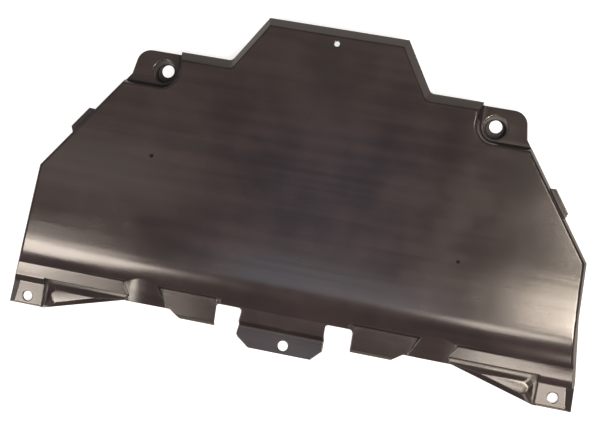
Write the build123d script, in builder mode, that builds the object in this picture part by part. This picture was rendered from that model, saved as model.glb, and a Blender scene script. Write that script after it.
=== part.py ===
from build123d import *
import os
from math import atan2, cos, degrees, hypot, radians, sin, tan

# Engine splash shield: one moulded sheet of plastic, convex side up, as it lies on a bench.
# Millimetres. X runs across the car, Y points to the rear, Z is up. The origin is on the
# bench under the middle of the shield. Plan places are given from the middle line and from
# the front edge, and rear features from the rear edge.

# Overall sizes
width = 894.0
length = 510.0
sheet = 3.0

# Crowned floor of the tray, the gentle brow in front of it and the bend that closes it
floor_z = 50.0
crown_radius = 20000.0
brow_radius = 1100.0
brow_angle = 5.0
bend_radius = 90.0
bend_angle = 40.0
slope_foot_y = 61.0
slope_foot_z = 23.8

# Rim: the turned-down edge all round the sides and the rear
rim_z = 32.0
tongue_run = 15.5
tongue_side_run = 13.0
shoulder_run = 17.0
side_run = 6.0
rim_drop_y = 140.0
fold_radius = 5.0

# Plan of the rim's lower edge
side_taper = 18.5
side_corner_y = 223.0
shoulder_back = 75.0
tongue_half_width = 109.5
tongue_base_half_width = 156.0
tongue_corner_radius = 12.0

# Rear ears, each with a deep screw cup
cup_x = 261.0
cup_back = 109.0
ear_z = 26.0
ear_lip_z = 20.0
ear_rear_reach = 30.0
ear_side_reach = 50.0
ear_side_slant = 7.0
ear_corner_radius = 22.0
ear_wall_reach = 22.0
ear_wall_run = 8.0
cup_mouth_radius = 18.0
cup_floor_radius = 14.5
cup_hole_radius = 10.0
cup_hole_shift = 4.0
cup_edge_radius = 1.5

# Side lips
lip_z = 37.0
lip_reach = 6.5
lip_front_y = 282.0
lip_rear_y = 325.0
lip_slant = 6.0

# Front ledge strips
strip_rear_y = 63.5
strip_rear_z = 22.0
strip_front_y = 47.0
strip_front_z = 19.5
strip_wall_run = 2.5
strip_rear_wall_run = 4.0
strip_rear_wall_rise = 6.0
strip_inner_x = 251.0
strip_end_slant = 12.0

# Corner pads and their holes
pad_width = 56.0
pad_rear_y = 36.0
pad_rear_z = 13.0
pad_front_y = 3.0
pad_front_z = 8.8
pad_back_run = 9.0
pad_side_run = 11.0
pad_side_z = 9.5
corner_hole_inset = 31.0
corner_hole_radius = 7.8
corner_hole_right_y = 17.0
corner_hole_left_y = 14.3

# Triangular gussets between the pads and the ramps
gusset_start_x = 259.0
gusset_start_y = 37.0
gusset_corner_z = 3.6
gusset_rise_in = 0.055
gusset_rise_back = 0.12
gusset_back_y = 45.5
gusset_edge_inset = 2.2
island_height = 5.0

# Island's edges and rounding, as shares of the largest circle that fits its corner of the gusset
island_side_share = 0.705
island_front_share = 0.405
island_back_share = 0.655
island_slope_share = 0.45
island_corner_share = 0.355

# Ramps between the gussets and the tabs, crowned across
ramp_crest_x = 230.0
ramp_crown_radius = 170.0
ramp_crest_rise = 2.5
ramp_rear_y = 72.0
ramp_rear_z = 31.5
ramp_under_run = 5.0

# Front tabs
tab_rear_y = 64.0
tab_rear_z = 19.0
tab_fold_y = 30.0
tab_fold_z = 11.5
tab_front_y = 25.0
tab_lip_drop = 6.0
tab_inner_left_x = 112.0
tab_inner_right_x = 104.0
tab_outer_x = 168.0
tab_seam_x = 185.0
seam_rear_x = 200.0
seam_front_x = 190.0
tab_wall_run = 2.5
tab_wall_rise = 8.0

# Middle ledge, the notches beside it and the flap below it
notch_y = 60.0
notch_radius = 5.0
middle_left_x = 70.0
middle_right_x = 61.5
ledge_rear_z = 24.3
ledge_front_y = 41.0
ledge_front_z = 19.5
flap_rear_y = 33.0
flap_z = 3.0
flap_front_y = 1.0
flap_chamfer = 16.0
flap_corner_radius = 8.0
flap_flare = 6.0
flap_hole_y = 14.0
flap_hole_radius = 8.0

# Hole in the tongue
tongue_hole_back = 26.5
tongue_hole_x = 3.0
tongue_hole_radius = 4.3

# Construction limits: forms are built taller and wider than the sheet and then trimmed, and
# a sheet that meets a higher wall runs on under it by the tuck
below = -30.0
above = 70.0
beyond = 60.0
under = 110.0
tuck = 2 * sheet
near = 0.01
fold_foot_z = 5.0
floor_face_width = width / 4
CURVED = (GeomType.CYLINDER, GeomType.TORUS, GeomType.CONE)

deck = Plane((0, -length / 2, 0))
side = Plane(origin=(0, -length / 2, 0), x_dir=(0, 1, 0), z_dir=(1, 0, 0))

corner_half = width / 2 - side_taper
shoulder_y = length - shoulder_back
cup_y = length - cup_back
ear_side_x = cup_x + ear_side_reach
ear_rear_y = cup_y + ear_rear_reach
pad_inner_x = width / 2 - pad_width
ramp_front_z = (
    gusset_corner_z
    + gusset_rise_in * (pad_inner_x - gusset_start_x)
    + gusset_rise_back * gusset_start_y
)


def inset(points, widths):
    """Moves each edge of a counter-clockwise outline inwards by its own width."""
    lines = []
    for (x0, y0), (x1, y1), shift in zip(points, points[1:] + points[:1], widths):
        run = hypot(x1 - x0, y1 - y0)
        lines.append((x0 - (y1 - y0) / run * shift, y0 + (x1 - x0) / run * shift, x1 - x0, y1 - y0))
    moved = []
    for (ax, ay, au, av), (bx, by, bu, bv) in zip(lines[-1:] + lines[:-1], lines):
        reach = ((bx - ax) * bv - (by - ay) * bu) / (au * bv - av * bu)
        moved.append((ax + reach * au, ay + reach * av))
    return moved


def on_line(x, start, end):
    """Height at x of the straight line through two points."""
    return start[1] + (x - start[0]) * (end[1] - start[1]) / (end[0] - start[0])


def border(faces):
    """Edges that belong to only one of the faces."""
    edges = [edge for face in faces for edge in face.edges()]
    return [edge for edge in edges if sum(edge.is_same(other) for other in edges) == 1]


def rim_form():
    """Plan of the rim's foot, and the sideways run of each of its planes."""
    slant = (ear_side_x - corner_half) / (cup_y - ear_wall_reach / 2 - side_corner_y)
    shoulder_half = corner_half + slant * (shoulder_y - side_corner_y)
    front_slant = (side_taper - side_run * rim_z / (floor_z - rim_z)) / side_corner_y
    right = [
        (corner_half + front_slant * (side_corner_y + beyond), -beyond),
        (corner_half, side_corner_y),
        (shoulder_half, shoulder_y),
        (tongue_base_half_width, shoulder_y),
        (tongue_half_width, length),
    ]
    right_runs = [side_run, side_run, shoulder_run, tongue_side_run]
    foot = right + [(-x, y) for x, y in reversed(right)]
    return foot, right_runs + [tongue_run] + right_runs[::-1] + [0.0]


def funnel(depth):
    """Inside of the sloping rim planes, moved inwards by depth."""
    foot, runs = rim_form()
    drop = floor_z - rim_z
    skins = [depth * hypot(run, drop) / drop for run in runs]
    low = [run * (below - rim_z) / drop + skin for run, skin in zip(runs, skins)]
    high = [run * (above - rim_z) / drop + skin for run, skin in zip(runs, skins)]
    with BuildPart() as walls:
        with BuildSketch(deck.offset(below)):
            Polygon(*inset(foot, low), align=None)
        with BuildSketch(deck.offset(above)):
            Polygon(*inset(foot, high), align=None)
        loft(ruled=True)
        corners = walls.edges().filter_by(lambda e: e.bounding_box().size.Z > above)
        roots = corners.sort_by(lambda e: abs(abs(e.center().X) - tongue_base_half_width))[:2]
        fillet(roots, tongue_corner_radius + depth)
    return walls.part


def crown(depth):
    """Everything under the crowned floor, the brow, the front bend and the slope below it."""
    ease, turn = radians(brow_angle), radians(bend_angle)
    spread = brow_radius - bend_radius
    slope_level = slope_foot_z * cos(turn) - slope_foot_y * sin(turn)
    bend_h = floor_z - brow_radius + spread * cos(ease)
    bend_y = (bend_h * cos(turn) + bend_radius - slope_level) / sin(turn)
    brow_y, brow_h = bend_y + spread * sin(ease), floor_z - brow_radius

    def arc(centre_y, centre_h, radius, start, end):
        angles = (start, (start + end) / 2, end)
        return [(centre_y - radius * sin(a), centre_h + radius * cos(a)) for a in angles]

    brow = arc(brow_y, brow_h, brow_radius - depth, 0, ease)
    bend = arc(bend_y, bend_h, bend_radius - depth, ease, turn)
    foot_y = bend[2][0] - (bend[2][1] - below) / tan(turn)
    rear_y = length + beyond
    axis = Axis((0, 0, floor_z - crown_radius), (0, 1, 0))
    sweep_angle = degrees((width + 2 * beyond) / crown_radius)
    with BuildPart() as bulk:
        with BuildSketch(side):
            with BuildLine():
                Polyline((foot_y, below), (rear_y, below), (rear_y, floor_z - depth), brow[0])
                ThreePointArc(*brow)
                ThreePointArc(*bend)
                Line(bend[2], (foot_y, below))
            make_face()
        revolve(axis=axis, revolution_arc=sweep_angle)
    return bulk.part.rotate(axis, -sweep_angle / 2)


def block(profile, profile_skins, plan, plan_skins, depth):
    """Everything under a folded profile (Y, Z) and inside a plan outline (X, Y).

    A skin of 1 marks a moulded wall, which moves inwards by depth, 0 an open end, and a
    negative one an end that reaches outwards, under the form beside it.
    """
    with BuildPart() as bulk:
        with BuildSketch(side.offset(-width)):
            Polygon(*inset(profile, [skin * depth for skin in profile_skins]), align=None)
        extrude(amount=2 * width)
        with BuildSketch(deck.offset(below)):
            Polygon(*inset(plan, [skin * depth for skin in plan_skins]), align=None)
        extrude(amount=above - below, mode=Mode.INTERSECT)
    return bulk.part


def both_sides(solid):
    """A right-hand form and its mirror image."""
    with BuildPart() as pair:
        add(solid)
        mirror(about=Plane.YZ)
    return pair.part


def pocket(outline, floor, wall_run, wall_rise, radius, depth):
    """Room cut down to a lower level, with leaning walls and one rounded inner corner."""
    skin = depth * hypot(wall_run, wall_rise) / wall_rise
    lean = degrees(atan2(wall_run, wall_rise))
    with BuildPart() as room:
        for start, height, taper in ((floor, above - floor, -lean), (below, floor - below, 0)):
            with BuildSketch(deck.offset(start)) as plan:
                Polygon(*inset(outline, [-skin] * len(outline)), align=None)
                if radius > 0:
                    fillet(plan.vertices().sort_by_distance((0, 0))[0], radius + skin)
            extrude(amount=height, taper=taper)
    return room.part


def ear_pocket(depth):
    """Corner wall of the tray, which wraps the cup of a right-hand ear."""
    x, y = cup_x - ear_wall_reach, cup_y - ear_wall_reach
    outline = [(x, y), (width, y), (width, length + beyond), (x, length + beyond)]
    return pocket(outline, ear_z, ear_wall_run, floor_z - ear_z, ear_wall_reach, depth)


def ear_outline(start_x):
    """Plan of the right-hand ear, which runs under the tray to start_x."""
    under_y = cup_y - ear_wall_reach - ear_wall_run
    side_y = cup_y - ear_wall_reach / 2
    slant = (ear_side_x - corner_half) / (side_y - side_corner_y)
    return [
        (start_x, under_y),
        (ear_side_x + slant * (under_y - side_y), under_y),
        (ear_side_x, side_y),
        (ear_side_x - ear_side_slant, ear_rear_y),
        (start_x, ear_rear_y),
    ]


def ear(depth):
    """Flat right-hand ear with a rounded outer corner."""
    outline = ear_outline(cup_x - ear_wall_reach - 2 * ear_wall_run)
    with BuildPart() as plate:
        with BuildSketch(deck.offset(below)) as plan:
            Polygon(*inset(outline, [0, depth, depth, depth, 0]), align=None)
            fillet(plan.vertices().sort_by(lambda v: v.X + v.Y)[-1], ear_corner_radius - depth)
        extrude(amount=ear_z - depth - below)
    return plate.part


def strip_outline(rear_y):
    """Plan of the right-hand ledge strip, whose inner end follows the ramp's slanted edge."""
    slant = strip_end_slant / (strip_rear_y - strip_front_y)
    return [
        (strip_inner_x - slant * strip_front_y, 0),
        (width, 0),
        (width, rear_y),
        (strip_inner_x + slant * (rear_y - strip_front_y), rear_y),
    ]


def strip(depth):
    """Right-hand ledge strip, sunk into the slope; its sheet runs on under the ramp's edge."""
    front, rear = (strip_front_y, strip_front_z), (strip_rear_y, strip_rear_z)
    profile = [
        (strip_front_y - strip_wall_run, below),
        (under, below),
        (under, on_line(under, front, rear)),
        front,
    ]
    return block(profile, [0, 0, 1, 1], strip_outline(under), [0, 0, 0, -2], depth)


def pad(depth):
    """Right-hand corner pad with the lip that turns down along its front."""
    front, rear = (pad_front_y, pad_front_z), (pad_rear_y, pad_rear_z)
    lip_foot_y = below * pad_front_y / pad_front_z
    profile = [(lip_foot_y, below), (under, below), (under, on_line(under, front, rear)), front]
    plan = [(pad_inner_x, -beyond), (width, -beyond), (width, under), (pad_inner_x, under)]
    lean = pad_side_run / pad_side_z
    outer_x = width / 2
    side_wall = [
        (0, below),
        (outer_x - lean * below, below),
        (outer_x - lean * above, above),
        (0, above),
    ]
    with BuildPart() as plate:
        add(block(profile, [0, 0, 1, 1], plan, [0, 0, 0, 1], depth))
        with BuildSketch(Plane.XZ):
            Polygon(*inset(side_wall, [0, depth, 0, 0]), align=None)
        extrude(amount=length, both=True, mode=Mode.INTERSECT)
    return plate.part


def pad_back(depth):
    """Slope between a right-hand corner pad and the strip above it."""
    profile = [
        (pad_rear_y, below),
        (under, below),
        (under, strip_front_z),
        (pad_rear_y + pad_back_run, strip_front_z),
        (pad_rear_y, pad_rear_z),
    ]
    plan = [(pad_inner_x, 0), (width, 0), (width, under), (pad_inner_x, under)]
    return block(profile, [0, 0, 1, 1, 0], plan, [0, 0, 0, 1], depth)


def gusset(depth):
    """Right-hand gusset: a low sloping panel with a raised three-cornered island."""
    plane = Plane(
        origin=(pad_inner_x, -length / 2, gusset_corner_z),
        x_dir=(1, 0, -gusset_rise_in),
        z_dir=(gusset_rise_in, -gusset_rise_back, 1),
    )
    start_x, strip_x = gusset_start_x - pad_inner_x, strip_inner_x - pad_inner_x
    slab = [
        (start_x, -beyond),
        (sheet, -beyond),
        (sheet, under),
        (strip_x, under),
        (strip_x, strip_front_y),
        (start_x, gusset_start_y),
    ]
    edge_start, edge_end = (-gusset_edge_inset, 0), (start_x, gusset_start_y)
    edge_slant = (edge_start[0] - edge_end[0]) / gusset_start_y
    tip_x = edge_end[0] - (gusset_back_y - gusset_start_y) * edge_slant
    triangle = [(0, on_line(0, edge_start, edge_end)), (0, gusset_back_y), (tip_x, gusset_back_y)]
    corners_ahead = triangle[1:] + triangle[:1]
    sides = [hypot(xb - xa, yb - ya) for (xa, ya), (xb, yb) in zip(triangle, corners_ahead)]
    room = (sides[0] + sides[1] - sides[2]) / 2
    top_runs = [room * island_side_share, room * island_back_share, room * island_front_share]
    slope_run, corner_radius = room * island_slope_share, room * island_corner_share
    skin = depth * (hypot(slope_run, island_height) - slope_run) / island_height
    with BuildPart() as panel:
        with BuildSketch(plane.offset(-depth)) as foot:
            Polygon(*inset(triangle, [run - slope_run + skin for run in top_runs]), align=None)
            fillet(foot.vertices().sort_by(Axis.X)[-2:], corner_radius)
        with BuildSketch(plane.offset(island_height - depth)) as top:
            Polygon(*inset(triangle, [run + skin for run in top_runs]), align=None)
            fillet(top.vertices().sort_by(Axis.X)[-2:], corner_radius)
        loft(sections=[foot.sketch, top.sketch], ruled=True)
        with BuildSketch(plane.offset(-depth)):
            Polygon((start_x, -beyond), (0, -beyond), (0, under), (start_x, under), align=None)
        extrude(amount=above, both=True, mode=Mode.INTERSECT)
        with BuildSketch(plane.offset(-depth)):
            Polygon(*inset(slab, [0, 0, 0, -tuck - 2 * depth, -tuck - 2 * depth, 0]), align=None)
        extrude(amount=below)
    return panel.part


def ramp(depth):
    """Right-hand ramp that carries the slope down to the front edge, crowned across."""
    rise, run = ramp_rear_z - ramp_front_z - ramp_crest_rise, ramp_rear_y - gusset_start_y
    size = hypot(rise, run)
    crest = Plane(
        origin=(ramp_crest_x, gusset_start_y - length / 2, ramp_front_z + ramp_crest_rise),
        x_dir=(1, 0, 0),
        z_dir=(0, -run / size, -rise / size),
    )
    slant = strip_end_slant / (strip_rear_y - strip_front_y)
    end_y = ramp_rear_y + ramp_under_run
    plan = [
        (tab_outer_x, 0),
        (gusset_start_x, 0),
        (gusset_start_x, gusset_start_y),
        (strip_inner_x, strip_front_y),
        (strip_inner_x + slant * (end_y - strip_front_y), end_y),
        (tab_outer_x, end_y),
    ]
    with BuildPart() as panel:
        with BuildSketch(crest):
            with Locations((0, -ramp_crown_radius)):
                Circle(ramp_crown_radius - depth)
        extrude(amount=length, both=True)
        with BuildSketch(deck.offset(below)):
            Polygon(*inset(plan, [0, 0, depth, depth, 0, 0]), align=None)
        extrude(amount=above - below, mode=Mode.INTERSECT)
    return panel.part


def tab_outline(inner_x, rear_y):
    """Plan of a right-hand tab or its recess, bounded by the seam beside the ramp."""
    slant = (seam_rear_x - seam_front_x) / (tab_rear_y - gusset_start_y)
    return [
        (inner_x, -beyond),
        (seam_rear_x - slant * (tab_rear_y + beyond), -beyond),
        (seam_rear_x + slant * (rear_y - tab_rear_y), rear_y),
        (inner_x, rear_y),
    ]


def tab(inner_x, depth):
    """Right-hand front tab with its front lip turned down."""
    front, rear = (tab_fold_y, tab_fold_z), (tab_rear_y, tab_rear_z)
    lip_foot_y = tab_fold_y - (tab_fold_y - tab_front_y) * (tab_fold_z - below) / tab_lip_drop
    profile = [(lip_foot_y, below), (under, below), (under, on_line(under, front, rear)), front]
    seam_reach = tab_wall_run + 2 * depth
    plan = inset(tab_outline(inner_x - tuck, under), [0, -seam_reach, 0, 0])
    return block(profile, [0, 0, 1, 1], plan, [0, 0, 0, 0], depth)


def middle_outline():
    """Plan of the middle ledge between the two tabs."""
    return [
        (-tab_inner_left_x, -beyond),
        (tab_inner_right_x, -beyond),
        (tab_inner_right_x, under),
        (-tab_inner_left_x, under),
    ]


def middle(depth):
    """Middle ledge, with the wall that drops to the flap."""
    front, rear = (ledge_front_y, ledge_front_z), (slope_foot_y, ledge_rear_z)
    wall_run = ledge_front_y - flap_rear_y
    foot_y = ledge_front_y - wall_run * (ledge_front_z - below) / (ledge_front_z - flap_z)
    profile = [(foot_y, below), (under, below), (under, on_line(under, front, rear)), front]
    return block(profile, [0, 0, 1, 1], middle_outline(), [0, 1, 0, 1], depth)


def flap(depth):
    """Flat screw flap below the middle ledge."""
    profile = [(-beyond, below), (under, below), (under, flap_z), (-beyond, flap_z)]
    return block(profile, [0, 0, 1, 0], middle_outline(), [0, 1, 0, 1], depth)


def tray(depth):
    """Crowned floor, front bend, sloping rim and ear walls.

    The fold between floor and walls is rounded on its visible side only.
    """
    with BuildPart() as bulk:
        add(crown(depth))
        add(funnel(depth), mode=Mode.INTERSECT)
        add(both_sides(ear_pocket(depth)), mode=Mode.SUBTRACT)
        if depth == 0:
            floor_faces = bulk.faces().filter_by(lambda f: f.geom_type in CURVED)
            floor_faces = floor_faces.filter_by(lambda f: f.bounding_box().size.X > floor_face_width)
            folds = [edge for edge in border(floor_faces) if edge.bounding_box().max.Z > fold_foot_z]
            fillet(folds, fold_radius)
    return bulk.part


def corners(depth):
    """Strips, pads and their back slopes, ended at the sides by the same rim."""
    with BuildPart() as bulk:
        for corner_form in (strip, pad, pad_back):
            add(both_sides(corner_form(depth)))
        add(funnel(depth), mode=Mode.INTERSECT)
    return bulk.part


def form(depth):
    """Solid that lies everywhere depth below the visible skin of the shield."""
    strip_wall = (strip_rear_wall_run, strip_rear_wall_rise, 0, depth)
    strip_recess = pocket(strip_outline(strip_rear_y), strip_front_z, *strip_wall)
    recess_wall = (tab_wall_run, tab_wall_rise, 0, depth)
    recess_right = pocket(tab_outline(tab_inner_right_x - sheet, tab_rear_y), tab_fold_z, *recess_wall)
    recess_left = pocket(tab_outline(tab_inner_left_x - sheet, tab_rear_y), tab_fold_z, *recess_wall)
    with BuildPart() as shape:
        add(tray(depth))
        add(both_sides(strip_recess), mode=Mode.SUBTRACT)
        add(both_sides(ramp(depth)))
        add(recess_right, mode=Mode.SUBTRACT)
        add(recess_left.mirror(Plane.YZ), mode=Mode.SUBTRACT)
        add(tab(tab_inner_right_x, depth))
        add(tab(tab_inner_left_x, depth).mirror(Plane.YZ))
        add(corners(depth))
        add(both_sides(gusset(depth)))
        add(middle(depth))
        add(flap(depth))
        add(both_sides(ear(depth)))
    return shape.part


def front_trim():
    """Everything in front of the shield's front edge, notches and flap."""
    gusset_edge = [(pad_inner_x - gusset_edge_inset, 0), (gusset_start_x, gusset_start_y)]
    tab_edge = [(tab_seam_x, gusset_start_y), (tab_outer_x, tab_front_y)]
    right = [(tab_inner_right_x, tab_front_y), (tab_inner_right_x, notch_y), (middle_right_x, notch_y)]
    left = [(tab_inner_left_x, tab_front_y), (tab_inner_left_x, notch_y), (middle_left_x, notch_y)]
    flap_right = [
        (middle_right_x, flap_front_y + flap_chamfer),
        (middle_right_x - flap_chamfer, flap_front_y),
    ]
    flap_left = [
        (middle_left_x + flap_flare, flap_front_y + flap_chamfer),
        (middle_left_x - flap_chamfer, flap_front_y),
    ]
    right_edge = [(width, -beyond), (width, 0)] + gusset_edge + tab_edge + right + flap_right
    left_edge = [(width, -beyond), (width, 0)] + gusset_edge + tab_edge + left + flap_left
    with BuildPart() as cut:
        with BuildSketch(deck.offset(below)) as plan:
            Polygon(*right_edge, *[(-x, y) for x, y in reversed(left_edge)], align=None)
            notch_roots = plan.vertices().filter_by(lambda v: abs(v.Y - notch_y) < near)
            fillet(notch_roots, notch_radius)
            left_flap = -middle_left_x - flap_flare - near
            flap_corners = plan.vertices().filter_by(lambda v: left_flap < v.X < 0 and v.Y < tab_front_y)
            fillet(flap_corners, flap_corner_radius)
        extrude(amount=above - below)
    return cut.part


def under_trim():
    """Everything below the shield's lower edges."""
    profile = [
        (-beyond, below - tuck),
        (length + beyond, below - tuck),
        (length + beyond, rim_z),
        (rim_drop_y, rim_z),
        (strip_front_y, 0),
        (-beyond, 0),
    ]
    with BuildPart() as ears:
        with BuildSketch(deck.offset(ear_lip_z)):
            Polygon(*ear_outline(cup_x - ear_wall_reach - tuck), align=None)
        extrude(amount=above)
        mirror(about=Plane.YZ)
    with BuildPart() as cut:
        with BuildSketch(side.offset(-width)):
            Polygon(*profile, align=None)
        extrude(amount=2 * width)
        add(ears.part, mode=Mode.SUBTRACT)
    return cut.part


def rear_trim():
    """Everything behind the shoulders, beside the tongue."""
    clear_x = tongue_base_half_width + tongue_corner_radius
    with BuildPart() as cut:
        for turn in (1, -1):
            corner = min(turn * clear_x, turn * width)
            with BuildSketch(deck.offset(below)):
                with Locations((corner, shoulder_y)):
                    Rectangle(width - clear_x, beyond, align=(Align.MIN, Align.MIN))
            extrude(amount=above - below)
    return cut.part


def side_lip():
    """Flat lip that stands out of the right-hand rim."""
    along_x, along_y = ear_side_x - corner_half, cup_y - ear_wall_reach / 2 - side_corner_y
    size = hypot(along_x, along_y)
    along_x, along_y = along_x / size, along_y / size
    ends = []
    for end_y, inward in ((lip_front_y, 1), (lip_rear_y, -1)):
        end_x = corner_half + (end_y - side_corner_y) * along_x / along_y
        root = (end_x - along_y * sheet, end_y + along_x * sheet)
        tip_x = end_x + along_y * lip_reach + along_x * lip_slant * inward
        tip_y = end_y - along_x * lip_reach + along_y * lip_slant * inward
        ends.append((root, (tip_x, tip_y)))
    (front_root, front_tip), (rear_root, rear_tip) = ends
    with BuildPart() as lip:
        with BuildSketch(deck.offset(lip_z - sheet)):
            Polygon(front_root, front_tip, rear_tip, rear_root, align=None)
        extrude(amount=sheet)
    return lip.part


with BuildPart() as splash_shield:
    add(form(0))
    add(form(sheet), mode=Mode.SUBTRACT)
    add(front_trim(), mode=Mode.SUBTRACT)
    add(under_trim(), mode=Mode.SUBTRACT)
    add(rear_trim(), mode=Mode.SUBTRACT)
    add(both_sides(side_lip()))

    # Screw cups: a tapered wall down to the bench, then the cup's hollow and its hole
    cups = [(-cup_x, cup_y), (cup_x, cup_y)]
    cup_lean = degrees(atan2(cup_mouth_radius - cup_floor_radius, ear_z - sheet))
    with BuildSketch(deck):
        with Locations(*cups):
            Circle(cup_floor_radius + sheet)
    extrude(amount=ear_z, taper=-cup_lean)
    with BuildSketch(deck.offset(sheet)):
        with Locations(*cups):
            Circle(cup_floor_radius)
    extrude(amount=ear_z - sheet, taper=-cup_lean, mode=Mode.SUBTRACT)
    ear_arcs = splash_shield.edges().filter_by(GeomType.CIRCLE).filter_by_position(Axis.Z, ear_z, ear_z)
    fillet(ear_arcs.filter_by(lambda e: abs(e.radius - cup_mouth_radius) < near), cup_edge_radius)

    # Round holes
    holes = [
        (-cup_x, cup_y + cup_hole_shift, cup_hole_radius),
        (cup_x, cup_y + cup_hole_shift, cup_hole_radius),
        (width / 2 - corner_hole_inset, corner_hole_right_y, corner_hole_radius),
        (corner_hole_inset - width / 2, corner_hole_left_y, corner_hole_radius),
        (0, flap_hole_y, flap_hole_radius),
        (tongue_hole_x, length - tongue_hole_back, tongue_hole_radius),
    ]
    for x, y, radius in holes:
        with BuildSketch(deck.offset(below)):
            with Locations((x, y)):
                Circle(radius)
        extrude(amount=above - below, mode=Mode.SUBTRACT)

splash_shield.part.label = "splash_shield"
os.makedirs("parts", exist_ok=True)
export_step(splash_shield.part, "parts/splash_shield.step")
print("splash_shield", splash_shield.part.volume, splash_shield.part.bounding_box())
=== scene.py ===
# %% [markdown]
# # An engine splash shield
# The real object is one large sheet of dark polypropylene, pressed out of an injection mould.
# It closes the engine bay from below. We look at the side that faces the road, from above,
# as it would lie on a table in a photo studio. First the finished solid is loaded. It comes
# as a triangle mesh that is true to size, so every later step can build on its measurements.

# %% Load the solid part
import math

import bmesh
import bpy
from mathutils import Matrix, Vector


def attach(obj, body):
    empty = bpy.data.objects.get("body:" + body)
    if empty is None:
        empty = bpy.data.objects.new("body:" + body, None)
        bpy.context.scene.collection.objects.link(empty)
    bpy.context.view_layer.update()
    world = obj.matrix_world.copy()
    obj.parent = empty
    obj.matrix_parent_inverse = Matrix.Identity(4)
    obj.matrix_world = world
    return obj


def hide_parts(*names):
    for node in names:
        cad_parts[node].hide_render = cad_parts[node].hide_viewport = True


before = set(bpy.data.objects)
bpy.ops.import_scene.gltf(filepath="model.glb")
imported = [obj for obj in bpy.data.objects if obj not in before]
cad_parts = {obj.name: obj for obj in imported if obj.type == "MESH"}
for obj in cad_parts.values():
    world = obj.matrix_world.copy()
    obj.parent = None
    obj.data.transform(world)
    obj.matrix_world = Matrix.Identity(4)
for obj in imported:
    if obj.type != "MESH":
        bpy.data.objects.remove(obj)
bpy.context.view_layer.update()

# %% [markdown]
# Sizes are easier to read in millimetres and colours as the hex codes of a paint program.
# Blender counts in metres and mixes light in linear values, so the factor MM and the helper
# linear translate. Another helper makes sure that an operator acts on one object only,
# because the loader leaves its own pieces selected.

# %% Helpers for sizes, colours and selections
MM = 0.001


def linear(hex_code):
    """A colour written as sRGB hex, as the linear RGBA that shaders use."""
    parts = [int(hex_code[i : i + 2], 16) / 255 for i in (1, 3, 5)]
    return [c / 12.92 if c <= 0.04045 else ((c + 0.055) / 1.055) ** 2.4 for c in parts] + [1.0]


def select_only(piece):
    """Makes one object the only selected and the active one, ready for an operator."""
    bpy.ops.object.select_all(action="DESELECT")
    piece.select_set(True)
    bpy.context.view_layer.objects.active = piece


# %% [markdown]
# Every material below is a small network of nodes. One helper adds a node, sets its settings
# and fills its inputs: a value is set on the socket, and another node's output is linked.

# %% Helper that adds a node
def add_node(tree, kind, inputs=None, **settings):
    """Adds a node, sets its settings, and sets or links its inputs."""
    node = tree.nodes.new(kind)
    for name, value in settings.items():
        setattr(node, name, value)
    for socket, value in (inputs or {}).items():
        if isinstance(value, bpy.types.NodeSocket):
            tree.links.new(value, node.inputs[socket])
        else:
            node.inputs[socket].default_value = value
    return node


# %% [markdown]
# ## The camera
# The photograph was taken from almost straight above, about two metres away, with the shield
# turned by some ten degrees in the picture. A 75 mm lens from that distance keeps the far
# and the near edge at nearly the same scale, which is why product pictures use it.

# %% Place the camera
SENSOR_WIDTH, LENS = 36.0, 75.0
CAMERA_PLACE = (260 * MM, -96.9 * MM, 1926.2 * MM)
CAMERA_TURN = (3.16621, 7.55804, 10.70718)
camera_data = bpy.data.cameras.new("camera")
camera = bpy.data.objects.new("camera", camera_data)
bpy.context.collection.objects.link(camera)
camera_data.sensor_width = SENSOR_WIDTH
camera_data.lens = LENS
camera.location = CAMERA_PLACE
camera.rotation_euler = [math.radians(angle) for angle in CAMERA_TURN]
bpy.context.scene.camera = camera
print("camera is", round(camera.location.z, 2), "m above the table")

# %% [markdown]
# ## The lights
# Dark plastic shows almost nothing but what it mirrors. The level floor of the shield mirrors
# the dim ceiling, while the bent front edge leans over and mirrors lamps that stand low in
# front. A strong softbox on each side of the camera gives the two glows of the photograph,
# with a darker gap between them. A weaker skirt beside each softbox lets its glow fade out
# slowly, and a strip light draws the streak along the right-hand ledge. A faint panel high on
# the left greys that half of the floor, and another low on the right reaches the right-hand
# bend. Two bluish patches on the ceiling cool the middle. A wide, dim panel behind the shield
# keeps the rear rim from ending in a black line. Each panel is written as a direction from
# the middle of the table, so it is easy to move.

# %% Helper that hangs a softbox; lengths are in metres, power in watts
PANEL_DISTANCE = 2.2


def softbox(name, across, along, width, height, watts, tint):
    """A soft panel seen from the table in the direction (across, along), aimed at it."""
    data = bpy.data.lights.new(name, "AREA")
    data.shape = "RECTANGLE"
    data.size, data.size_y, data.energy = width, height, watts
    data.color = linear(tint)[:3]
    lamp = bpy.data.objects.new(name, data)
    bpy.context.collection.objects.link(lamp)
    up = math.sqrt(1 - across**2 - along**2)
    lamp.location = Vector((across, along, up)) * PANEL_DISTANCE
    lamp.rotation_euler = (-lamp.location).to_track_quat("-Z", "Y").to_euler()
    return lamp


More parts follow.
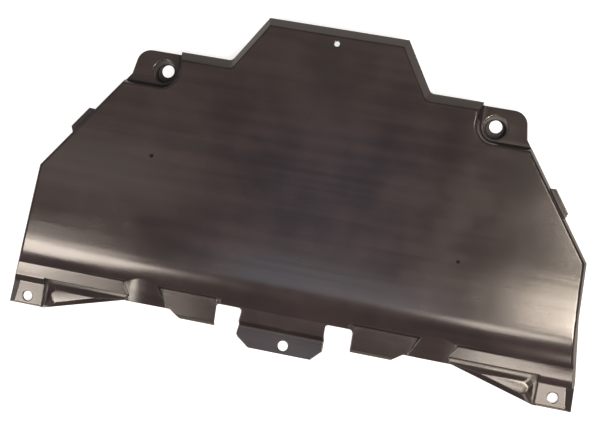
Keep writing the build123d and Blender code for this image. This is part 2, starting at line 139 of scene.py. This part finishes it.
# %% Hang the softboxes
WARM, WARMER, CREAM, COOL, BLUE = "#FFF1E2", "#FFEFDC", "#FFEBCF", "#DDE6F6", "#A9C6FF"
softbox("left_panel", -0.49, -0.57, 0.58, 0.72, 20, WARM)
softbox("left_skirt", -0.55, -0.36, 0.48, 0.7, 9.5, WARM)
softbox("left_high", -0.48, 0.02, 0.24, 0.8, 0.7, WARM)
softbox("right_panel", 0.5, -0.22, 0.4, 1.1, 53, WARMER)
softbox("right_skirt", 0.4, 0.12, 0.4, 0.4, 9, WARMER)
softbox("strip_light", 0.23, -0.42, 0.4, 0.32, 6, WARM)
softbox("low_right_panel", 0.4, -0.78, 0.5, 0.4, 3, WARM)
softbox("ceiling_front", -0.08, -0.3, 0.8, 0.6, 2.2, COOL)
softbox("ceiling_middle", -0.1, 0.02, 0.5, 0.5, 0.25, BLUE)
softbox("rear_panel", -0.1, 0.5, 2.0, 1.5, 2.4, CREAM)
print(len(bpy.data.lights), "softboxes hang", PANEL_DISTANCE, "m away")

# %% [markdown]
# ## The room and the table
# The product stands on white paper. The camera sees the paper as white, and its own matt
# shading is added so that it still takes the object's shadow. The steep rim mirrors the paper
# close to the tray, where it lies in half shade, so the mirrored paper is drawn much dimmer
# and the rim comes out dark grey. The room above is dim and a little blue, like the unlit
# part of a studio.

# %% Dim the room
WALL_COLOUR, WALL_GLOW = "#B9C4D4", 0.25
world = bpy.data.worlds.new("studio")
bpy.context.scene.world = world
world.use_nodes = True
room = world.node_tree
paper = room.nodes["Background"]
paper.inputs["Color"].default_value = linear("#FFFFFF")
walls = add_node(
    room, "ShaderNodeBackground", {"Color": linear(WALL_COLOUR), "Strength": WALL_GLOW}
)
rays = add_node(room, "ShaderNodeLightPath")
choice = add_node(
    room,
    "ShaderNodeMixShader",
    {0: rays.outputs["Is Camera Ray"], 1: walls.outputs[0], 2: paper.outputs[0]},
)
room.links.new(choice.outputs[0], room.nodes["World Output"].inputs["Surface"])
print("the walls glow at", WALL_GLOW)

# %% Lay the white paper, matt enough to show nothing but a soft shadow
PAPER_WIDTH = 12
PAPER_COLOUR, PAPER_ROUGHNESS = "#A4A4A4", 0.9
PAPER_GLOW, MIRRORED_GLOW = 0.82, 0.1
bpy.ops.object.select_all(action="DESELECT")
bpy.ops.mesh.primitive_plane_add(size=PAPER_WIDTH, location=(0, 0, 0))
floor = bpy.context.active_object
floor.name = "floor"
floor_paint = bpy.data.materials.new("white_paper")
floor_paint.use_nodes = True
paint = floor_paint.node_tree
matt = paint.nodes["Principled BSDF"]
matt.inputs["Base Color"].default_value = linear(PAPER_COLOUR)
matt.inputs["Roughness"].default_value = PAPER_ROUGHNESS
seen = add_node(paint, "ShaderNodeLightPath")
seen_or_mirrored = add_node(
    paint,
    "ShaderNodeMath",
    {0: seen.outputs["Is Camera Ray"], 1: seen.outputs["Is Glossy Ray"]},
    operation="MAXIMUM",
)
any_view = add_node(
    paint,
    "ShaderNodeMath",
    {0: seen_or_mirrored.outputs[0], 1: seen.outputs["Is Transmission Ray"]},
    operation="MAXIMUM",
)
level = add_node(
    paint,
    "ShaderNodeMapRange",
    {"Value": seen.outputs["Is Camera Ray"], "To Min": MIRRORED_GLOW, "To Max": PAPER_GLOW},
)
strength = add_node(
    paint,
    "ShaderNodeMath",
    {0: any_view.outputs[0], 1: level.outputs[0]},
    operation="MULTIPLY",
)
glow = add_node(
    paint, "ShaderNodeEmission", {"Color": linear("#FFFFFF"), "Strength": strength.outputs[0]}
)
lit = add_node(paint, "ShaderNodeAddShader", {0: matt.outputs[0], 1: glow.outputs[0]})
paint.links.new(lit.outputs[0], paint.nodes["Material Output"].inputs["Surface"])
floor.data.materials.append(floor_paint)
bpy.context.scene.view_settings.view_transform = "Standard"
print("the paper is", PAPER_WIDTH, "m wide")

# %% [markdown]
# ## The shield's own mesh
# The shape of the solid is right, so it is kept. What has to be better than the loader's
# loose triangles is the way light runs over it: on a glossy moulding the smallest kink in the
# shading shows. A copy of the mesh is merged into one closed skin, and the solid is
# hidden behind it.

# %% Copy and merge the solid's mesh
MERGE_DISTANCE = 0.01 * MM
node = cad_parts["splash_shield"]
shield = bpy.data.objects.new("shield", node.data.copy())
bpy.context.collection.objects.link(shield)
select_only(shield)
bpy.ops.object.mode_set(mode="EDIT")
bpy.ops.mesh.select_all(action="SELECT")
bpy.ops.mesh.remove_doubles(threshold=MERGE_DISTANCE)
bpy.ops.object.mode_set(mode="OBJECT")
print(shield.name, len(shield.data.vertices), "points", len(shield.data.polygons), "faces")

# %% [markdown]
# Seen from the side, the skin is a nearly flat floor, a long shallow brow, a tight bend and a
# straight slope down to the front, all rolled over a crown of 20 m radius. These are simple
# circles and lines, so the direction in which the skin looks can be worked out exactly at any
# point, instead of being guessed from the triangles.

# %% The big curved surfaces as formulas, in millimetres
FLOOR_Z = 50.0
CROWN_RADIUS = 20000.0
BROW_RADIUS, BROW_ANGLE = 1100.0, math.radians(5)
BEND_RADIUS, BEND_ANGLE = 90.0, math.radians(40)
SLOPE_FOOT = (-194.0, 23.8)
SHEET = 3.0
ON_SKIN = 0.05

spread = BROW_RADIUS - BEND_RADIUS
bend_h = FLOOR_Z - BROW_RADIUS + spread * math.cos(BROW_ANGLE)
slope_level = SLOPE_FOOT[1] * math.cos(BEND_ANGLE) - SLOPE_FOOT[0] * math.sin(BEND_ANGLE)
bend_y = (bend_h * math.cos(BEND_ANGLE) + BEND_RADIUS - slope_level) / math.sin(BEND_ANGLE)
brow_y, brow_h = bend_y + spread * math.sin(BROW_ANGLE), FLOOR_Z - BROW_RADIUS
print("bend centre at y", round(bend_y, 2), "brow starts at y", round(brow_y, 2))


def skin_normal(point):
    """Normal of the floor, brow, bend or slope at a point on it (mm), or None off them."""
    x, y, z = point
    lift = z + CROWN_RADIUS - FLOOR_Z
    spoke = math.hypot(x, lift)
    height = spoke - CROWN_RADIUS + FLOOR_Z
    lean = max(0.0, math.atan2(bend_y - y, height - bend_h))
    if y >= brow_y:
        depth, lean = FLOOR_Z - height, 0.0
    elif lean < BROW_ANGLE:
        depth = BROW_RADIUS - math.hypot(y - brow_y, height - brow_h)
        lean = math.atan2(brow_y - y, height - brow_h)
    elif lean < BEND_ANGLE:
        depth = BEND_RADIUS - math.hypot(y - bend_y, height - bend_h)
    else:
        lean = BEND_ANGLE
        depth = slope_level - height * math.cos(lean) + y * math.sin(lean)
    side = 1 if abs(depth) < ON_SKIN else -1 if abs(depth - SHEET) < ON_SKIN else 0
    if not side:
        return None
    up = math.cos(lean)
    return Vector((up * x / spoke, -math.sin(lean), up * lift / spoke)) * side


# %% [markdown]
# Now each triangle is sorted. Those on the big curves get the exact directions. The others
# belong to flat faces or to the narrow roundings between them: a rounding may shade smoothly
# into its neighbours, while two flat faces that simply meet keep a crisp edge.

# %% Find the faces on the big curves
mesh = bmesh.new()
mesh.from_mesh(shield.data)
mesh.faces.ensure_lookup_table()

SAME_SIDE = 0.97
curved = {}
for face in mesh.faces:
    normals = [skin_normal(corner.co / MM) for corner in face.verts]
    if all(normals) and normals[0].dot(face.normal) > SAME_SIDE:
        curved[face.index] = normals
print(len(curved), "faces on the big curves")


# %% Group the other faces into flat regions
FLAT_ANGLE = math.radians(0.4)


def flat_regions(mesh, limit):
    """Groups of joined faces that lie in one plane, as a number for each face."""
    region = [-1] * len(mesh.faces)
    count = 0
    for seed in mesh.faces:
        if region[seed.index] >= 0:
            continue
        region[seed.index] = count
        stack = [seed]
        while stack:
            face = stack.pop()
            for edge in face.edges:
                for other in edge.link_faces:
                    if region[other.index] < 0 and other.normal.dot(seed.normal) > limit:
                        region[other.index] = count
                        stack.append(other)
        count += 1
    return region, count


FAR_OUT = 9.0
region, count = flat_regions(mesh, math.cos(FLAT_ANGLE))
area = [0.0] * count
low = [Vector((FAR_OUT, FAR_OUT, FAR_OUT)) for _ in range(count)]
high = [-corner for corner in low]
for face in mesh.faces:
    k = region[face.index]
    area[k] += face.calc_area()
    for corner in face.verts:
        for axis in range(3):
            low[k][axis] = min(low[k][axis], corner.co[axis])
            high[k][axis] = max(high[k][axis], corner.co[axis])
NARROW = 3.2 * MM
narrow = [area[k] / (high[k] - low[k]).length < NARROW for k in range(count)]
print(count, "flat regions,", sum(narrow), "of them narrow")

# %% Mark the crisp edges
ROUNDING_ANGLE = math.radians(40)
sharp = 0
for edge in mesh.edges:
    faces = edge.link_faces
    angle = faces[0].normal.angle(faces[1].normal) if len(faces) == 2 else math.pi
    on_curves = all(face.index in curved for face in faces)
    rounding = any(narrow[region[face.index]] and face.index not in curved for face in faces)
    edge.smooth = on_curves or angle < FLAT_ANGLE or (rounding and angle < ROUNDING_ANGLE)
    sharp += not edge.smooth
mesh.to_mesh(shield.data)
mesh.free()
print(sharp, "crisp edges")

# %% [markdown]
# A Weighted Normal modifier lets the large flat faces decide how the roundings beside them
# shade, as a polished mould would. Its result is applied, and the exact directions of the big
# curves are written over it.

# %% Weighted normals, then the exact ones
LARGE_FACES_LEAD = 95
select_only(shield)
bpy.ops.object.shade_smooth()
weighted = shield.modifiers.new("weighted", "WEIGHTED_NORMAL")
weighted.keep_sharp = True
weighted.weight = LARGE_FACES_LEAD
bpy.ops.object.modifier_apply(modifier=weighted.name)
loop_normals = [Vector(normal.vector) for normal in shield.data.corner_normals]
for index, normals in curved.items():
    start = shield.data.polygons[index].loop_start
    loop_normals[start : start + len(normals)] = normals
shield.data.normals_split_custom_set(loop_normals)
print(len(loop_normals), "corner normals set")

# %% Let the skin stand for the solid
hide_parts("splash_shield")
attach(shield, "root")

# %% [markdown]
# ## Gate stubs and a pin mark
# Hot plastic enters the mould through small gates, and each leaves a stub with a crater where
# it was torn off. When the mould opens, thin steel pins push the sheet out, and each leaves a
# small button. The photograph shows two dark stubs, four pixels wide, and a pale button. A
# stub and a button both start as a short cylinder. The stub's top is inset and pressed in, and
# the button's is drawn together into a dome. They are set on the skin and tilted the way it
# looks there.

# %% Helpers that start a mark with its top face selected, and shape it ring by ring
UPWARD = 0.9
ROUND_STEPS = 32


def start_stub(name, radius, height):
    """A short upright cylinder around the origin, open for editing, its top selected."""
    bpy.ops.object.select_all(action="DESELECT")
    bpy.ops.mesh.primitive_cylinder_add(vertices=ROUND_STEPS, radius=radius, depth=height)
    stub = bpy.context.active_object
    stub.name = name
    bpy.ops.object.mode_set(mode="EDIT")
    bpy.ops.mesh.select_mode(type="FACE")
    bpy.ops.mesh.select_all(action="DESELECT")
    bpy.ops.object.mode_set(mode="OBJECT")
    for face in stub.data.polygons:
        face.select = face.normal.z > UPWARD
    bpy.ops.object.mode_set(mode="EDIT")
    return stub


def shape_top(rings, crease):
    """Insets the top by rings of (inwards, upwards) in mm, and closes the edit."""
    for inwards, upwards in rings:
        bpy.ops.mesh.inset(thickness=inwards * MM, depth=upwards * MM)
    bpy.ops.object.mode_set(mode="OBJECT")
    bpy.ops.object.shade_smooth_by_angle(angle=crease)


# %% Make the gate stub with its crater
GATE_RADIUS, GATE_HEIGHT, GATE_TAPER = 3.4 * MM, 1.6 * MM, 0.85
CRATER = ((0.35, 0.1), (0.4, -0.55), (1.0, -0.15))
GATE_CREASE = math.radians(35)
gate_stubs = start_stub("gate_stubs", GATE_RADIUS, GATE_HEIGHT)
bpy.ops.transform.resize(value=(GATE_TAPER, GATE_TAPER, 1.0))
shape_top(CRATER, GATE_CREASE)
print("one gate stub has", len(gate_stubs.data.polygons), "faces")

# %% Make the domed pin button
BUTTON_RADIUS, BUTTON_HEIGHT = 2.0 * MM, 0.8 * MM
DOME = ((0.4, 0.3), (0.5, 0.2), (0.6, 0.08))
DOME_CREASE = math.radians(50)
pin_button = start_stub("pin_button", BUTTON_RADIUS, BUTTON_HEIGHT)
shape_top(DOME, DOME_CREASE)
print("the button has", len(pin_button.data.polygons), "faces")

# %% Helper that sets a mark on the skin
ABOVE = 0.2
SUNK = 0.1 * MM


def set_on_skin(mark, x, y):
    """Moves a mark's mesh to a place on the skin (mm), tilted the way the skin looks."""
    _, spot, normal, _ = shield.ray_cast((x * MM, y * MM, ABOVE), (0, 0, -1))
    tilt = normal.to_track_quat("Z", "Y").to_matrix().to_4x4()
    mark.data.transform(Matrix.Translation(spot - normal * SUNK) @ tilt)


# %% Set the marks
LEFT_GATE, RIGHT_GATE, BUTTON_SPOT = (-249.7, 10.8), (241.9, -64.4), (5.8, -108.6)
select_only(gate_stubs)
bpy.ops.object.duplicate()
second_gate = bpy.context.active_object
set_on_skin(gate_stubs, *LEFT_GATE)
set_on_skin(second_gate, *RIGHT_GATE)
set_on_skin(pin_button, *BUTTON_SPOT)
select_only(gate_stubs)
second_gate.select_set(True)
bpy.ops.object.join()
for mark in (gate_stubs, pin_button):
    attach(mark, "root")
print("two gate stubs and a pin button set")

# %% [markdown]
# ## Moulded polypropylene
# Polypropylene with a little carbon black is dark brown-black, and a smooth mould gives it a
# satin gloss. Three things keep it from looking like flat paint. The melt runs along the
# sheet and leaves faint streaks. It shrinks unevenly as it cools, which leaves soft
# clouds and a very slight waviness. And spark erosion left a trace of grain in the mould.
# All patterns are measured in millimetres on the object itself.

# %% Start the plastic: solid polypropylene has an IOR of 1.49, its waxy skin mirrors more
PP_IOR = 1.6
PP_ROUGHNESS = 0.2
plastic = bpy.data.materials.new("moulded_polypropylene")
plastic.use_nodes = True
tree = plastic.node_tree
skin = tree.nodes["Principled BSDF"]
skin.inputs["IOR"].default_value = PP_IOR
place = add_node(tree, "ShaderNodeTexCoord").outputs["Object"]

# %% Flow streaks, long in x and about 12 mm apart in y
STREAK_LENGTH, STREAK_PITCH, STREAK_DETAIL = 320 * MM, 12 * MM, 2.5
stretch = (1 / STREAK_LENGTH, 1 / STREAK_PITCH, 1 / STREAK_PITCH)
drawn_out = add_node(tree, "ShaderNodeMapping", {"Vector": place, "Scale": stretch})
streaks = add_node(
    tree,
    "ShaderNodeTexNoise",
    {"Vector": drawn_out.outputs[0], "Scale": 1.0, "Detail": STREAK_DETAIL},
).outputs["Fac"]

# %% Clouds of uneven cooling, about 70 mm across
CLOUD_SIZE, CLOUD_DETAIL = 70 * MM, 2.0
clouds = add_node(
    tree,
    "ShaderNodeTexNoise",
    {"Vector": place, "Scale": 1 / CLOUD_SIZE, "Detail": CLOUD_DETAIL},
).outputs["Fac"]

# %% Grain of the mould; the real one is about 0.3 mm and is drawn coarser so that it shows
GRAIN_SIZE, GRAIN_DETAIL = 2.2 * MM, 3.0
grain = add_node(
    tree,
    "ShaderNodeTexNoise",
    {"Vector": place, "Scale": 1 / GRAIN_SIZE, "Detail": GRAIN_DETAIL},
).outputs["Fac"]
print("streaks", STREAK_PITCH, "clouds", CLOUD_SIZE, "grain", GRAIN_SIZE, "in metres")

# %% Hollows: where walls stand close, the mould is not polished, and painted shade darkens the colour
HOLLOW_REACH = 14 * MM
HOLLOW_STARTS, HOLLOW_FULL = 0.82, 0.62
PROBES = 8
openness = add_node(
    tree, "ShaderNodeAmbientOcclusion", {"Distance": HOLLOW_REACH}, samples=PROBES
)
hollows = add_node(
    tree,
    "ShaderNodeMapRange",
    {"Value": openness.outputs["AO"], "From Min": HOLLOW_STARTS, "From Max": HOLLOW_FULL},
    interpolation_type="SMOOTHSTEP",
)

# %% Colour: brown-black, a little lighter and redder in the clouds, with painted shade in the hollows
# Inputs 2 and 3 of a Mix node take numbers, and inputs 6 and 7 take colours
STREAK_SHARE = 0.45
DARK_END, LIGHT_END = 0.3, 0.7
DEEP_BROWN, SOFT_BROWN, PAINTED_SHADE_BLACK = "#1F1919", "#2C2323", "#0C0A0A"
tone = add_node(
    tree, "ShaderNodeMix", {0: STREAK_SHARE, 2: clouds, 3: streaks}, data_type="FLOAT"
)
shade = add_node(tree, "ShaderNodeValToRGB", {"Fac": tone.outputs[0]})
shade.color_ramp.interpolation = "EASE"
dark, light = shade.color_ramp.elements
dark.position, light.position = DARK_END, LIGHT_END
dark.color, light.color = linear(DEEP_BROWN), linear(SOFT_BROWN)
# Painted shade: where walls stand close, the colour is mixed towards near black
shadow = add_node(
    tree,
    "ShaderNodeMix",
    {0: hollows.outputs[0], 6: shade.outputs["Color"], 7: linear(PAINTED_SHADE_BLACK)},
    data_type="RGBA",
)
tree.links.new(shadow.outputs[2], skin.inputs["Base Color"])

# %% Gloss: duller where the melt froze early, and matt in the hollows
HOLLOW_ROUGHNESS = 0.6
GLOSSIER, DULLER = PP_ROUGHNESS - 0.02, PP_ROUGHNESS + 0.03
THIN_CLOUD, DENSE_CLOUD = 0.2, 0.8
gloss = add_node(
    tree,
    "ShaderNodeMapRange",
    {
        "Value": clouds,
        "From Min": THIN_CLOUD,
        "From Max": DENSE_CLOUD,
        "To Min": GLOSSIER,
        "To Max": DULLER,
    },
    interpolation_type="SMOOTHSTEP",
)
dull = add_node(
    tree,
    "ShaderNodeMix",
    {0: hollows.outputs[0], 2: gloss.outputs[0], 3: HOLLOW_ROUGHNESS},
    data_type="FLOAT",
)
tree.links.new(dull.outputs[0], skin.inputs["Roughness"])

# %% Relief: waves, streaks and grain, over softly rounded edges
WAVE_SIZE, WAVE_DEPTH, WAVE_DETAIL = 110 * MM, 1.2 * MM, 0.0
STREAK_DEPTH, GRAIN_DEPTH = 0.14 * MM, 0.035 * MM
EDGE_RADIUS = 2.4 * MM
soft_edges = add_node(tree, "ShaderNodeBevel", {"Radius": EDGE_RADIUS}, samples=PROBES)
swell = add_node(
    tree,
    "ShaderNodeTexNoise",
    {"Vector": place, "Scale": 1 / WAVE_SIZE, "Detail": WAVE_DETAIL},
).outputs["Fac"]
waves = add_node(
    tree,
    "ShaderNodeBump",
    {"Height": swell, "Distance": WAVE_DEPTH, "Normal": soft_edges.outputs[0]},
)
lines = add_node(
    tree,
    "ShaderNodeBump",
    {"Height": streaks, "Distance": STREAK_DEPTH, "Normal": waves.outputs[0]},
)
pits = add_node(
    tree,
    "ShaderNodeBump",
    {"Height": grain, "Distance": GRAIN_DEPTH, "Normal": lines.outputs[0]},
)
tree.links.new(pits.outputs[0], skin.inputs["Normal"])

# %% Paint the skin and the button
for piece in (shield, pin_button):
    piece.data.materials.clear()
    piece.data.materials.append(plastic)
print(plastic.name, "has", len(tree.nodes), "nodes")

# %% [markdown]
# Where the gate was torn off, the plastic is not moulded but broken: matt, without a shine at
# any angle, and full of tiny pits. Its colour is near black, painted shade for the crater and
# the pits, which is why the two stubs look like black dots.

# %% Torn plastic of the gate stubs
TEAR_IOR, TEAR_MIRROR, TEAR_ROUGHNESS = 1.49, 0.2, 0.8
TEAR_SIZE, TEAR_DETAIL, TEAR_DEPTH = 0.8 * MM, 3.0, 0.2 * MM
# The first colour is painted shade in the pits and crater; the second is the torn plastic's
# own colour
PIT_SHADE_BLACK, FIBRE_BROWN = "#050404", "#171111"
torn = bpy.data.materials.new("torn_polypropylene")
torn.use_nodes = True
tear_tree = torn.node_tree
tear_skin = tear_tree.nodes["Principled BSDF"]
tear_skin.inputs["IOR"].default_value = TEAR_IOR
tear_skin.inputs["Specular IOR Level"].default_value = TEAR_MIRROR
tear_skin.inputs["Roughness"].default_value = TEAR_ROUGHNESS
tear_place = add_node(tear_tree, "ShaderNodeTexCoord").outputs["Object"]
pitting = add_node(
    tear_tree,
    "ShaderNodeTexNoise",
    {"Vector": tear_place, "Scale": 1 / TEAR_SIZE, "Detail": TEAR_DETAIL},
).outputs["Fac"]
# Painted shade: the low parts of the pitting are near black, standing in for shadow in the
# pits
tear_shade = add_node(tear_tree, "ShaderNodeValToRGB", {"Fac": pitting})
pit_shade, tear_fibre = tear_shade.color_ramp.elements
pit_shade.color, tear_fibre.color = linear(PIT_SHADE_BLACK), linear(FIBRE_BROWN)
tear_tree.links.new(tear_shade.outputs["Color"], tear_skin.inputs["Base Color"])
tear_relief = add_node(
    tear_tree, "ShaderNodeBump", {"Height": pitting, "Distance": TEAR_DEPTH}
)
tear_tree.links.new(tear_relief.outputs[0], tear_skin.inputs["Normal"])
gate_stubs.data.materials.clear()
gate_stubs.data.materials.append(torn)
print(torn.name, "has", len(tear_tree.nodes), "nodes")
